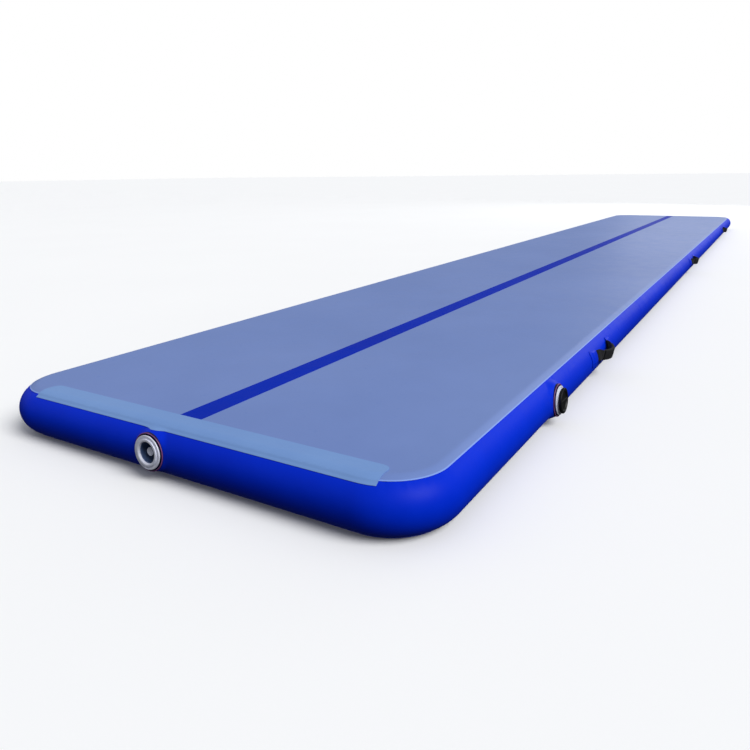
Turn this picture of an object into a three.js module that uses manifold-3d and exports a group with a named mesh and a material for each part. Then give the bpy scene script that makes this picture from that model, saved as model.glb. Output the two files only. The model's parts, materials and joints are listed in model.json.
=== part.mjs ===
// Air track mat: a long drop-stitch mattress with rounded edges, two inflation valves and carrying
// handles. Millimetres, +Z up, +X along the mat away from the end valve, origin on the floor under
// the middle of the mat. "Near" is the end valve's end, "right" is the -Y side.
import * as THREE from "three";
import { mergeVertices } from "three/addons/utils/BufferGeometryUtils.js";
import Module from "manifold-3d";

const wasm = await Module();
wasm.setup();

// Mattress
const LENGTH = 6000;
const WIDTH = 1000;
const HEIGHT = 100;
const EDGE_RADIUS = 49.8; // the side wall bulges almost to a half circle
const CORNER_RADIUS = 123; // outermost outline, seen from above
const SKIN = 1; // coated fabric
const GAP = 0.3; // between pieces that touch
const SHEET_EDGE_Z = 94.1; // the top sheet ends here on the rounded shoulder
const ARC_STEPS = 4; // half of the steps of a corner's quarter circle
const BULGE_STEPS = 8; // steps from the flat face to the outermost line

// Trim on the sheets
const LINE_WIDTH = 50;
const LINE_THICKNESS = 0.5;
const STRIP_WIDTH = 782;
const STRIP_MIDDLE = -17; // both strips sit a little to the right of the middle
const STRIP_DEPTH = 70; // from the end face to the strip's back edge
const STRIP_EDGE_Z = 89.5;
const STRIP_THICKNESS = 0.8;
const STRIP_CORNER = 15;
const TAPE_LOW_Z = 88;
const TAPE_HIGH_Z = 95.5;

// Drop-stitch yarns
const CORE_LENGTH = 5890;
const CORE_WIDTH = 890;
const YARN_ROWS = 24;
const YARN_THICKNESS = 0.5;

// Valves, measured outward from the centre line of the wall's bulge
const VALVE_TILT = THREE.MathUtils.degToRad(5);
const END_VALVE_Y = 31;
const SIDE_VALVE_X = -2400;
const BORE = 19.2;
const TUBE = 22;
const NECK = 24.5;
const FLANGE = 30.5;
const COLLAR = 34;
const WALL_HOLE = 24;
const COLLAR_FACE = 51.5;
const GASKET_THICKNESS = 1;
const FLANGE_BACK = COLLAR_FACE + GASKET_THICKNESS + 2 * GAP;
const FLANGE_FACE = FLANGE_BACK + 2.4;
const NECK_FACE = 57.2;
const SEAT = 25.5;
const TUBE_END = SEAT;
const SPIDER_LOW = 30;
const SPIDER_HIGH = 33;
const BUTTON_LOW = 46;
const BUTTON_HIGH = 48.5;
const STEM = 2.8;
const TURNED_SIDES = 32;

// Handles, measured outward from the hinge line on the wall
const HANDLE_XS = [-2000, 0, 2000];
const HANDLE_SPAN = 150;
const HANDLE_RISE = 22;
const HANDLE_TILT = THREE.MathUtils.degToRad(18); // the patches sit above the middle of the wall
const HANDLE_DROOP = THREE.MathUtils.degToRad(28);
const HINGE_OUT = 52.9;
const WEB_THICKNESS = 2.2;
const WEB_HALF_WIDTH = 12.5;
const WEB_HALF_LENGTH = 56;
const GRIP_HALF_LENGTH = 38;
const GRIP_HALF_WIDTH = 14;
const GRIP_HALF_THICKNESS = 3.6;
const PATCH_LENGTH = 45;
const PATCH_HALF_ANGLE = THREE.MathUtils.degToRad(25);
const PATCH_THICKNESS = 1.2;

const FINISH = {
  topSheet: { color: 0x7e95c8, roughness: 0.55, metalness: 0 },
  wall: { color: 0x0234c4, roughness: 0.45, metalness: 0 },
  line: { color: 0x0a2ca8, roughness: 0.5, metalness: 0 },
  strip: { color: 0x6e90c7, roughness: 0.5, metalness: 0 },
  yarn: { color: 0xd8dade, roughness: 0.9, metalness: 0 },
  collar: { color: 0x0a1440, roughness: 0.6, metalness: 0 },
  valve: { color: 0xd9dbea, roughness: 0.35, metalness: 0 },
  steel: { color: 0xb0b4b8, roughness: 0.3, metalness: 1 },
  rubber: { color: 0x24262a, roughness: 0.8, metalness: 0 },
  cap: { color: 0x0b0c0e, roughness: 0.4, metalness: 0 },
  webbing: { color: 0x101114, roughness: 0.85, metalness: 0 },
};

const mat = new THREE.Group();

// ---- solids ----

function toSolid(geometry) {
  const bare = geometry.clone();
  bare.deleteAttribute("normal");
  bare.deleteAttribute("uv");
  const merged = mergeVertices(bare, 1e-4);
  return new wasm.Manifold(
    new wasm.Mesh({
      numProp: 3,
      vertProperties: merged.attributes.position.array,
      triVerts: new Uint32Array(merged.index.array),
    }),
  );
}

function toGeometry(solid) {
  const { vertProperties, triVerts } = solid.getMesh();
  const geometry = new THREE.BufferGeometry();
  geometry.setAttribute("position", new THREE.BufferAttribute(vertProperties, 3));
  geometry.setIndex(new THREE.BufferAttribute(triVerts, 1));
  geometry.computeVertexNormals();
  return geometry;
}

function addPiece(group, name, shape, finish) {
  const geometry = shape.isBufferGeometry ? shape : toGeometry(shape);
  const mesh = new THREE.Mesh(geometry, new THREE.MeshStandardMaterial(FINISH[finish]));
  mesh.name = name;
  group.add(mesh);
}

function box(low, high) {
  const size = high.map((value, i) => value - low[i]);
  const middle = high.map((value, i) => (value + low[i]) / 2);
  return new THREE.BoxGeometry(...size).translate(...middle);
}

// A turned piece: [radius, height] pairs counterclockwise with the axis on the left.
function turned(profile, sides = TURNED_SIDES) {
  const points = profile.map(([radius, height]) => new THREE.Vector2(radius, height));
  return new THREE.LatheGeometry(points, sides).rotateX(Math.PI / 2);
}

function ring(inner, outer, low, high) {
  return turned([[inner, low], [outer, low], [outer, high], [inner, high], [inner, low]]);
}

function disc(radius, low, high) {
  return turned([[0, low], [radius, low], [radius, high], [0, high]]);
}

// ---- mattress ----

// Rounded rectangle seen from above, at the edge of the flat faces.
function plan() {
  const radius = CORNER_RADIUS - EDGE_RADIUS;
  const x = LENGTH / 2 - CORNER_RADIUS;
  const y = WIDTH / 2 - CORNER_RADIUS;
  const quarter = Math.PI / 2;
  const shape = new THREE.Shape();
  shape.absarc(x, -y, radius, -quarter, 0);
  shape.absarc(x, y, radius, 0, quarter);
  shape.absarc(-x, y, radius, quarter, 2 * quarter);
  shape.absarc(-x, -y, radius, 2 * quarter, 3 * quarter);
  return shape;
}

// The whole mattress as a solid whose surface lies inset below the outer skin.
function mattress(inset) {
  const bulge = EDGE_RADIUS - inset;
  const geometry = new THREE.ExtrudeGeometry(plan(), {
    depth: HEIGHT - 2 * EDGE_RADIUS,
    bevelThickness: bulge,
    bevelSize: bulge,
    bevelSegments: BULGE_STEPS,
    curveSegments: ARC_STEPS,
  });
  return toSolid(geometry.translate(0, 0, EDGE_RADIUS));
}

function layer(outerInset, innerInset) {
  return mattress(outerInset).subtract(mattress(innerInset));
}

function between(solid, low, high) {
  return solid.intersect(toSolid(box(low, high)));
}

function valveHole(group) {
  group.updateWorldMatrix(true, true);
  const cut = disc(WALL_HOLE, SEAT, COLLAR_FACE + 5);
  return toSolid(cut.applyMatrix4(group.children[0].matrixWorld));
}

function addSkin(endValve, sideValve) {
  const skin = layer(0, SKIN);
  const far = LENGTH;
  const lowEdge = HEIGHT - SHEET_EDGE_Z;
  addPiece(mat, "top_sheet", between(skin, [-far, -far, SHEET_EDGE_Z], [far, far, far]), "topSheet");
  addPiece(mat, "bottom_sheet", between(skin, [-far, -far, -far], [far, far, lowEdge]), "wall");

  const low = lowEdge + GAP;
  const high = SHEET_EDGE_Z - GAP;
  const x = LENGTH / 2 - CORNER_RADIUS;
  const y = WIDTH / 2 - CORNER_RADIUS;
  const walls = [
    ["wall_near_end", [-far, -y, low], [-x, y, high], valveHole(endValve)],
    ["wall_far_end", [x, -y, low], [far, y, high]],
    ["wall_right", [-x, -far, low], [x, -y, high], valveHole(sideValve)],
    ["wall_left", [-x, y, low], [x, far, high]],
  ];
  for (const [name, from, to, hole] of walls) {
    const wall = between(skin, from, to);
    addPiece(mat, name, hole ? wall.subtract(hole) : wall, "wall");
  }
  for (const [end, sx] of [["near", -1], ["far", 1]]) {
    for (const [side, sy] of [["right", -1], ["left", 1]]) {
      const inner = [sx * (x + GAP), sy * (y + GAP)];
      const outer = [sx * far, sy * far];
      const from = [Math.min(inner[0], outer[0]), Math.min(inner[1], outer[1]), low];
      const to = [Math.max(inner[0], outer[0]), Math.max(inner[1], outer[1]), high];
      addPiece(mat, `wall_corner_${end}_${side}`, between(skin, from, to), "wall");
    }
  }
}

function addSeamTapes() {
  const tape = layer(SKIN + GAP, 2 * SKIN + GAP);
  const far = LENGTH;
  addPiece(mat, "seam_tape_top", between(tape, [-far, -far, TAPE_LOW_Z], [far, far, TAPE_HIGH_Z]), "wall");
  const low = HEIGHT - TAPE_HIGH_Z;
  const high = HEIGHT - TAPE_LOW_Z;
  addPiece(mat, "seam_tape_bottom", between(tape, [-far, -far, low], [far, far, high]), "wall");
}

function addEndStrips() {
  const cover = layer(-GAP - STRIP_THICKNESS, -GAP);
  const back = LENGTH / 2 - STRIP_DEPTH;
  const front = LENGTH / 2 + STRIP_CORNER;
  const half = STRIP_WIDTH / 2;
  for (const [name, side] of [["end_strip_near", -1], ["end_strip_far", 1]]) {
    const low = side * STRIP_MIDDLE - half;
    const high = side * STRIP_MIDDLE + half;
    const outline = new THREE.Shape();
    outline.moveTo(front, low);
    outline.lineTo(front, high);
    outline.absarc(back + STRIP_CORNER, high - STRIP_CORNER, STRIP_CORNER, Math.PI / 2, Math.PI);
    outline.absarc(back + STRIP_CORNER, low + STRIP_CORNER, STRIP_CORNER, Math.PI, 1.5 * Math.PI);
    const block = new THREE.ExtrudeGeometry(outline, {
      depth: HEIGHT,
      bevelEnabled: false,
      curveSegments: ARC_STEPS,
    });
    block.translate(0, 0, STRIP_EDGE_Z);
    if (side < 0) block.rotateZ(Math.PI);
    addPiece(mat, name, cover.intersect(toSolid(block)), "strip");
  }
}

function addCentreLine() {
  const x = LENGTH / 2 - STRIP_DEPTH - GAP;
  const low = HEIGHT + GAP;
  const line = box([-x, -LINE_WIDTH / 2, low], [x, LINE_WIDTH / 2, low + LINE_THICKNESS]);
  addPiece(mat, "centre_line", line, "line");
}

// The rows of yarn between the two sheets, as one block with a tunnel between each two rows.
function addCore() {
  const [x, y] = [CORE_LENGTH / 2, CORE_WIDTH / 2];
  const low = 2 * SKIN + 2 * GAP;
  const high = HEIGHT - low;
  const pitch = (CORE_WIDTH - YARN_THICKNESS) / YARN_ROWS;
  let block = between(mattress(low), [-x, -y, low], [x, y, high]);
  for (let row = 0; row < YARN_ROWS; row += 1) {
    const from = [-x - 1, row * pitch + YARN_THICKNESS - y, low + YARN_THICKNESS];
    const to = [x + 1, (row + 1) * pitch - y, high - YARN_THICKNESS];
    block = block.subtract(toSolid(box(from, to)));
  }
  addPiece(mat, "drop_stitch_core", block, "yarn");
}

// ---- valves ----

// A frame whose +Z leaves the wall along the valve's axis, from the centre line of the bulge.
function valveFrame(x, y, turn) {
  const place = new THREE.Group();
  place.position.set(x, y, HEIGHT / 2);
  place.rotation.z = turn;
  const axis = new THREE.Group();
  axis.rotation.x = Math.PI / 2 - VALVE_TILT;
  place.add(axis);
  mat.add(place);
  return place;
}

// A round bar along the wall, used to shape what lies against the bulge.
function bulge(radius) {
  const bar = new THREE.CylinderGeometry(radius, radius, 4 * COLLAR, 2 * TURNED_SIDES);
  return toSolid(bar.rotateZ(Math.PI / 2));
}

function collar() {
  const block = toSolid(ring(TUBE + 0.4, COLLAR, SEAT, COLLAR_FACE));
  return block.subtract(bulge(EDGE_RADIUS + 0.4));
}

function clampNut() {
  const block = toSolid(ring(TUBE + 0.4, 31, SPIDER_LOW, COLLAR_FACE));
  return block.intersect(bulge(EDGE_RADIUS - SKIN - 0.6));
}

// Flange, neck and tube in one moulding, with a seat at the tube's end and a three-legged spider.
function valveBody() {
  const shell = turned([
    [12.5, TUBE_END], [TUBE, TUBE_END], [TUBE, FLANGE_BACK], [FLANGE - 0.8, FLANGE_BACK],
    [FLANGE, FLANGE_BACK + 0.8], [FLANGE, FLANGE_FACE - 0.8], [FLANGE - 0.8, FLANGE_FACE],
    [NECK, FLANGE_FACE], [NECK, NECK_FACE - 0.5], [NECK - 0.5, NECK_FACE], [BORE + 0.6, NECK_FACE],
    [BORE, NECK_FACE - 0.6], [BORE, SEAT + 2.5], [12.5, SEAT + 2.5], [12.5, TUBE_END],
  ]);
  let body = toSolid(shell).add(toSolid(ring(STEM + 0.4, 6, SPIDER_LOW, SPIDER_HIGH)));
  for (let leg = 0; leg < 3; leg += 1) {
    const spoke = box([-1.5, 5, SPIDER_LOW], [1.5, BORE + 1, SPIDER_HIGH]);
    body = body.add(toSolid(spoke.rotateZ((leg * 2 * Math.PI) / 3)));
  }
  const slot = box([-4.5, -29, FLANGE_BACK - 1], [4.5, -26, FLANGE_FACE + 1]);
  return body.subtract(toSolid(slot));
}

function plunger() {
  return turned([
    [0, 20], [5, 20], [5, 22.2], [STEM, 22.2], [STEM, BUTTON_LOW], [7.5, BUTTON_LOW],
    [7.5, BUTTON_HIGH - 0.8], [6.5, BUTTON_HIGH], [0, BUTTON_HIGH],
  ], 24);
}

class Coil extends THREE.Curve {
  constructor(radius, low, high, turns) {
    super();
    Object.assign(this, { radius, low, high, turns });
  }
  getPoint(t, target = new THREE.Vector3()) {
    const angle = t * this.turns * 2 * Math.PI;
    const height = this.low + t * (this.high - this.low);
    return target.set(this.radius * Math.cos(angle), this.radius * Math.sin(angle), height);
  }
}

function spring() {
  const wire = 0.6;
  const section = new THREE.Shape();
  section.absarc(0, 0, wire, 0, 2 * Math.PI);
  const path = new Coil(5, SPIDER_HIGH + GAP + wire, BUTTON_LOW - GAP - wire, 4);
  return new THREE.ExtrudeGeometry(section, { steps: 48, extrudePath: path, curveSegments: 3 });
}

function addValve(place, name) {
  const axis = place.children[0];
  const gasket = ring(TUBE + 0.5, 29, COLLAR_FACE + GAP, COLLAR_FACE + GAP + GASKET_THICKNESS);
  addPiece(axis, `${name}_collar`, collar(), "collar");
  addPiece(axis, `${name}_gasket`, gasket, "rubber");
  addPiece(axis, `${name}_body`, valveBody(), "valve");
  addPiece(axis, `${name}_nut`, clampNut(), "valve");
  addPiece(axis, `${name}_spring`, spring(), "steel");
  addPiece(axis, `${name}_plunger`, plunger(), "valve");
  addPiece(axis, `${name}_diaphragm`, ring(STEM + 0.3, 14.5, 22.5, SEAT - GAP), "rubber");
}

// A ribbed disc with a bar to turn it by, and a plug that fills the bore.
function cap() {
  const radius = 26.7;
  const ribs = 24;
  const outline = new THREE.Shape();
  for (let step = 0; step < 2 * ribs; step += 1) {
    const angle = (step * Math.PI) / ribs;
    const reach = step % 2 ? radius - 0.9 : radius;
    const point = [reach * Math.cos(angle), reach * Math.sin(angle)];
    if (step) outline.lineTo(...point);
    else outline.moveTo(...point);
  }
  const plate = new THREE.ExtrudeGeometry(outline, { depth: 5.4, bevelEnabled: false });
  const plug = turned([
    [0, 51], [17, 51], [18.6, 52], [18.6, 53.4], [17, 53.4], [17, 55.6], [18.6, 55.6],
    [18.6, 60], [0, 60],
  ]);
  const dish = turned([[0, 61.5], [20, 61.5], [21.5, 66], [0, 66]]);
  const bar = box([-20.5, -2.5, 61], [20.5, 2.5, 63.6]);
  const body = toSolid(plate.translate(0, 0, 58.6)).add(toSolid(plug));
  return body.subtract(toSolid(dish)).add(toSolid(bar));
}

// ---- handles ----

// Height of the strap over the hinge line, at x along it.
function bow(x) {
  return HANDLE_RISE * (0.5 + 0.5 * Math.cos((2 * Math.PI * x) / HANDLE_SPAN));
}

// A band that follows the bow, as a solid: x along it, y outward, z across.
function band(halfLength, halfThickness, halfWidth) {
  const steps = 16;
  const outer = [];
  const inner = [];
  for (let i = 0; i <= steps; i += 1) {
    const x = halfLength * ((2 * i) / steps - 1);
    outer.push(new THREE.Vector2(x, bow(x) + halfThickness));
    inner.push(new THREE.Vector2(x, bow(x) - halfThickness));
  }
  const outline = new THREE.Shape([...inner, ...outer.reverse()]);
  const solid = new THREE.ExtrudeGeometry(outline, { depth: 2 * halfWidth, bevelEnabled: false });
  return solid.translate(0, 0, -halfWidth);
}

// The webbing narrows towards its two ends, where the real one twists.
function strap() {
  const outline = new THREE.Shape();
  const tip = 3;
  const reach = bow(WEB_HALF_LENGTH) - WEB_THICKNESS;
  const full = HANDLE_RISE + 2 * WEB_THICKNESS;
  outline.moveTo(-tip, reach).lineTo(tip, reach).lineTo(WEB_HALF_WIDTH, WEB_HALF_WIDTH);
  outline.lineTo(WEB_HALF_WIDTH, full).lineTo(-WEB_HALF_WIDTH, full);
  outline.lineTo(-WEB_HALF_WIDTH, WEB_HALF_WIDTH);
  const taper = new THREE.ExtrudeGeometry(outline, { depth: HANDLE_SPAN, bevelEnabled: false });
  taper.translate(0, 0, -HANDLE_SPAN / 2).rotateY(Math.PI / 2);
  return toSolid(band(WEB_HALF_LENGTH, WEB_THICKNESS / 2, WEB_HALF_WIDTH)).intersect(toSolid(taper));
}

function grip() {
  const sleeve = toSolid(band(GRIP_HALF_LENGTH, GRIP_HALF_THICKNESS, GRIP_HALF_WIDTH));
  const channel = band(GRIP_HALF_LENGTH + 1, WEB_THICKNESS / 2 + GAP, WEB_HALF_WIDTH + GAP);
  return sleeve.subtract(toSolid(channel));
}

// A reinforcement patch that lies on the bulge: x along the mat, y outward, z up.
function patch(x) {
  const inner = EDGE_RADIUS + 0.4;
  const outer = inner + PATCH_THICKNESS;
  const outline = new THREE.Shape();
  outline.absarc(0, 0, outer, -PATCH_HALF_ANGLE, PATCH_HALF_ANGLE);
  outline.absarc(0, 0, inner, PATCH_HALF_ANGLE, -PATCH_HALF_ANGLE, true);
  const solid = new THREE.ExtrudeGeometry(outline, {
    depth: PATCH_LENGTH,
    bevelEnabled: false,
    curveSegments: ARC_STEPS,
  });
  const frame = new THREE.Matrix4().makeBasis(
    new THREE.Vector3(0, 1, 0),
    new THREE.Vector3(0, 0, 1),
    new THREE.Vector3(1, 0, 0),
  );
  return solid.applyMatrix4(frame).translate(x - PATCH_LENGTH / 2, 0, 0);
}

function addHandle(name, x, side) {
  const place = new THREE.Group();
  place.position.set(x, side * (WIDTH / 2 - EDGE_RADIUS), HEIGHT / 2);
  if (side < 0) place.rotation.z = Math.PI;
  const wall = new THREE.Group();
  wall.rotation.x = HANDLE_TILT;
  place.add(wall);
  mat.add(place);
  const patchX = WEB_HALF_LENGTH + 4 + PATCH_LENGTH / 2;
  addPiece(wall, `${name}_patch_a`, patch(-patchX), "wall");
  addPiece(wall, `${name}_patch_b`, patch(patchX), "wall");
  const swing = new THREE.Group();
  swing.position.y = HINGE_OUT;
  swing.rotation.x = -HANDLE_DROOP;
  wall.add(swing);
  addPiece(swing, `${name}_strap`, strap(), "webbing");
  addPiece(swing, `${name}_grip`, grip(), "rubber");
}

// ---- assembly ----

const endValve = valveFrame(EDGE_RADIUS - LENGTH / 2, END_VALVE_Y, -Math.PI / 2);
const sideValve = valveFrame(SIDE_VALVE_X, EDGE_RADIUS - WIDTH / 2, 0);
addSkin(endValve, sideValve);
addSeamTapes();
addEndStrips();
addCentreLine();
addCore();
addValve(endValve, "end_valve");
addValve(sideValve, "side_valve");
addPiece(sideValve.children[0], "side_valve_cap", cap(), "cap");
addPiece(sideValve.children[0], "side_valve_cap_seal", ring(17.3, 18.9, 53.7, 55.3), "rubber");
HANDLE_XS.forEach((x, index) => {
  addHandle(`handle_right_${index + 1}`, x, -1);
  addHandle(`handle_left_${index + 1}`, x, 1);
});

export default mat;
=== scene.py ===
"""Air track mat: an inflated drop-stitch mattress with its valves and carrying handles.

Metres, +Z up, +X along the mat away from the end valve. Valve pieces are made in the valve's
own place: x along the wall, y up the wall, z outward from the middle of the wall's bulge.
"""
import json
import math

import bmesh
import bpy
import numpy as np
from mathutils import Matrix, Quaternion, Vector

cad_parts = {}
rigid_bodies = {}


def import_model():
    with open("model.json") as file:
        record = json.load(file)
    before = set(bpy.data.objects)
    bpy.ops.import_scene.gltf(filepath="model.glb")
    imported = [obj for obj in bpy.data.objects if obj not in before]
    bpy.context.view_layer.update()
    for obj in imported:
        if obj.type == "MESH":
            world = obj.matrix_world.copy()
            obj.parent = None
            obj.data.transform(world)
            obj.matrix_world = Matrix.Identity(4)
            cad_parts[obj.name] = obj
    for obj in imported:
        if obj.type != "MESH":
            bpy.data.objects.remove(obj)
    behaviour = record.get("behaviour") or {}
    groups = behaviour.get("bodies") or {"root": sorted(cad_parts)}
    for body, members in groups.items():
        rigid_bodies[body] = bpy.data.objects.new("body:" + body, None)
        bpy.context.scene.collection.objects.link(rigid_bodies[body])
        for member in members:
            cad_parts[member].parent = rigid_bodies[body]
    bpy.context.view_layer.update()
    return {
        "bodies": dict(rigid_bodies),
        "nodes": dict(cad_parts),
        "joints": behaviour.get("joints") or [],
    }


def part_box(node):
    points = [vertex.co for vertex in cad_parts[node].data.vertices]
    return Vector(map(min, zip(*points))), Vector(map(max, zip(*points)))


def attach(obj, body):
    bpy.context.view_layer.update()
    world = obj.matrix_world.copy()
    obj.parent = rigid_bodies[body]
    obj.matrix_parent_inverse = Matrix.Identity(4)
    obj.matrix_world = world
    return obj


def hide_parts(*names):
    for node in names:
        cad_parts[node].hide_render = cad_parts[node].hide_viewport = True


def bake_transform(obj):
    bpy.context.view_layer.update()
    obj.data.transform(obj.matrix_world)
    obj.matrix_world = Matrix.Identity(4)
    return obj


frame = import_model()

MM = 0.001

# The mattress
HALF_LENGTH = -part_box("wall_near_end")[0].x
HALF_WIDTH = -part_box("wall_right")[0].y
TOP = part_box("top_sheet")[1].z
BULGE = TOP / 2  # radius of the rounded wall
CORNER = 123 * MM  # radius of the outermost outline at a corner
SKIN = 0.9 * MM
SHEET_EDGE_ANGLE = math.radians(61.9)  # where a face sheet ends on the rounded shoulder
WALL_ANGLE = math.radians(76)  # how far the wall reaches under both face sheets
SHEET_LIFT = 1.0 * MM  # a face sheet lies over the wall's edge

# Trim on the face sheet
LINE_HALF_WIDTH = 25 * MM
STRIP_THICKNESS = 0.8 * MM
STRIP_CORNER = 15 * MM
STRIP_DEPTH = 70 * MM  # from the end face to the back edge of the strip
STRIP_EDGE_ANGLE = math.radians(52.2)

# Valves
WALL_HOLE = 25 * MM
DRAWN_TO = 50.4 * MM  # the wall is drawn flat under the collar, this far out
DRAWN_FLAT = 30 * MM
DRAWN_END = 43.5 * MM
GASKET_MIDDLE = 52.3 * MM

# Handles
HINGE_OUT = 52.9 * MM
HANDLE_TILT = math.radians(18)
HANDLE_DROOP = math.radians(28)
HANDLE_SPAN = 150 * MM
HANDLE_RISE = 22 * MM
WEB_THICKNESS = 2.2 * MM
WEB_HALF_WIDTH = 12.5 * MM
WEB_END = 88 * MM  # how far the webbing runs under its patch
WEB_GAP = 0.4 * MM  # from the wall to the webbing's edges; its flat middle lies deeper
FOLLOWS_WALL = 57 * MM  # past this far from the middle the webbing stays with the wall
FOLLOWS_GRIP = 40 * MM  # within this far it swings with the grip
TACK_ROWS = (43.5 * MM, 46 * MM)
TACK_HALF_WIDTH = 10.2 * MM
TACK_LIFT = 0.25 * MM  # the stitches' middle line stands this far off the webbing
GRIP_HALF_LENGTH = 38 * MM
PATCH_START = 60 * MM
LIFTS_OVER = 6 * MM  # the length over which the webbing leaves the wall
PATCH_END = 105 * MM
PATCH_HALF_ANGLE = math.radians(25)
PATCH_THICKNESS = 1.2 * MM
PATCH_CORNER = 9 * MM
PATCH_RAMP = 4 * MM  # the length over which a patch rises over the webbing

# Studio
SKY_FILL = 0.42
GROUND_FILL = 0.03
KEY_STRENGTH = 2.6
FAR_PANEL_POWER = 45
CAMERA_PLACE = (-3.6738, -0.8311, 0.5057)
CAMERA_YAW = math.radians(31.21)
CAMERA_PITCH = math.radians(17.28)
CAMERA_ROLL = math.radians(-0.69)
LENS = 31.14


# ---- node trees ----


class Wire:
    """A socket that carries a varying number. Sums and products of wires add Math nodes."""

    def __init__(self, tree, socket):
        self.tree = tree
        self.socket = socket

    def math(self, operation, other=0.0, swapped=False):
        first, second = (other, self) if swapped else (self, other)
        return self.tree.node("ShaderNodeMath", {"operation": operation}, {0: first, 1: second})

    def __add__(self, other):
        return self.math("ADD", other)

    def __sub__(self, other):
        return self.math("SUBTRACT", other)

    def __mul__(self, other):
        return self.math("MULTIPLY", other)

    def __rsub__(self, other):
        return self.math("SUBTRACT", other, swapped=True)

    __radd__ = __add__
    __rmul__ = __mul__

    def ramp(self, low, high):
        """0 where this is at or below low, 1 at or above high, smooth between."""
        sockets = {0: self, 1: low, 2: high, 3: 0.0, 4: 1.0}
        return self.tree.node("ShaderNodeMapRange", {"interpolation_type": "SMOOTHSTEP"}, sockets)


class Tree:
    """A node tree being made. node() adds any node and returns one of its outputs."""

    def __init__(self, tree):
        self.tree = tree

    def node(self, kind, settings=None, sockets=None, out=0):
        made = self.tree.nodes.new(kind)
        for name, value in (settings or {}).items():
            setattr(made, name, value)
        for key, value in (sockets or {}).items():
            for each in value if isinstance(value, list) else [value]:
                if isinstance(each, Wire):
                    self.tree.links.new(each.socket, made.inputs[key])
                else:
                    made.inputs[key].default_value = each
        return Wire(self, made.outputs[out]) if len(made.outputs) else None


class Finish(Tree):
    def __init__(self, name):
        self.material = bpy.data.materials.new(name)
        self.material.use_nodes = True
        super().__init__(self.material.node_tree)
        self.tree.nodes.clear()

    def place(self):
        """Where the point is on the piece, in metres."""
        return self.node("ShaderNodeTexCoord", out=3)

    def surface(self):
        """Where the point is on the flat cloth, in metres."""
        return self.node("ShaderNodeTexCoord", out=2)

    def height(self):
        """How far up the point is, in metres."""
        return self.node("ShaderNodeSeparateXYZ", {}, {0: self.place()}, out=2)

    def noise(self, size, detail=2.0, roughness=0.5):
        sockets = {"Vector": self.place(), "Scale": 1 / size, "Detail": detail}
        sockets["Roughness"] = roughness
        return self.node("ShaderNodeTexNoise", {"noise_dimensions": "3D"}, sockets)

    def cells(self, size):
        sockets = {"Vector": self.place(), "Scale": 1 / size}
        return self.node("ShaderNodeTexVoronoi", {"feature": "SMOOTH_F1"}, sockets)

    def waves(self, size, direction, where=None):
        settings = {"wave_type": "BANDS", "bands_direction": direction, "wave_profile": "SIN"}
        sockets = {"Vector": where or self.place(), "Scale": 0.314 / size, "Distortion": 0.0}
        return self.node("ShaderNodeTexWave", settings, sockets, out=1)

    def mixed(self, mask, first, second):
        settings = {"data_type": "RGBA", "blend_type": "MIX"}
        return self.node("ShaderNodeMix", settings, {0: mask, 6: first, 7: second}, out=2)

    def bump(self, height, depth, strength=1.0, over=None):
        sockets = {"Height": height, "Distance": depth, "Strength": strength}
        if over:
            sockets["Normal"] = over
        return self.node("ShaderNodeBump", {}, sockets)

    def finish(self, colour, roughness, normal=None, **shader):
        sockets = {"Base Color": colour, "Roughness": roughness}
        sockets.update({key.replace("_", " "): value for key, value in shader.items()})
        if normal:
            sockets["Normal"] = normal
        made = self.node("ShaderNodeBsdfPrincipled", {}, sockets)
        self.node("ShaderNodeOutputMaterial", {}, {0: made})
        return self.material


def tone(red, green, blue):
    """A colour given the way a swatch book prints it, 0 to 255."""

    def linear(value):
        value /= 255
        return value / 12.92 if value <= 0.04045 else ((value + 0.055) / 1.055) ** 2.4

    return (linear(red), linear(green), linear(blue), 1.0)


def coated_fabric(name, colour, shade, gloss, grain=1.1 * MM, edge=None, shine=0.3):
    """Vinyl-coated cloth: fine embossed grain over a hint of weave, faint patches of shade."""
    fin = Finish(name)
    drift = fin.noise(0.55, 3.0).ramp(0.32, 0.68)
    mottle = fin.noise(0.06, 4.0, 0.6).ramp(0.3, 0.7)
    base = fin.mixed(drift * 0.7 + mottle * 0.3, shade, colour)
    emboss = fin.cells(grain)
    weave = fin.waves(2.1 * MM, "X") * fin.waves(2.1 * MM, "Y")
    scuff = fin.noise(0.02, 5.0, 0.65).ramp(0.58, 0.72)
    relief = emboss * 0.7 + weave * 0.3
    normal = fin.bump(relief, 0.12 * MM, 0.5)
    normal = fin.bump(fin.noise(0.03, 2.0), 0.6 * MM, 0.25, over=normal)
    # Below a given height the cloth is painted a lighter colour: a painted highlight along a
    # sheet's edge.
    if edge:
        rim = 1 - fin.height().ramp(edge[0], edge[1])
        base = fin.mixed(rim * 0.85, base, edge[2])
    rough = gloss + scuff * 0.1 + mottle * 0.06
    return fin.finish(base, rough, normal, Specular_IOR_Level=shine)


def moulded(name, colour, shade, gloss, grain=0.25 * MM, shine=0.5):
    """Injection-moulded plastic or rubber with a fine spark-eroded texture."""
    fin = Finish(name)
    cloud = fin.noise(9 * MM, 4.0, 0.6).ramp(0.3, 0.7)
    base = fin.mixed(cloud, shade, colour)
    normal = fin.bump(fin.noise(grain, 3.0), 0.04 * MM, 0.5)
    rough = gloss + fin.noise(3 * MM, 3.0) * 0.12
    return fin.finish(base, rough, normal, Specular_IOR_Level=shine)


def foam(name, colour, shade):
    """Closed-cell foam rubber: small open pores and a dusty sheen."""
    fin = Finish(name)
    pores = fin.cells(0.7 * MM).ramp(0.1, 0.55)
    # The pits take the darker tone: painted shade in the pores.
    base = fin.mixed(pores, shade, colour)
    normal = fin.bump(pores, 0.15 * MM, 0.6)
    return fin.finish(base, 0.82 + fin.noise(4 * MM) * 0.1, normal, Specular_IOR_Level=0.3)


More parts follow.
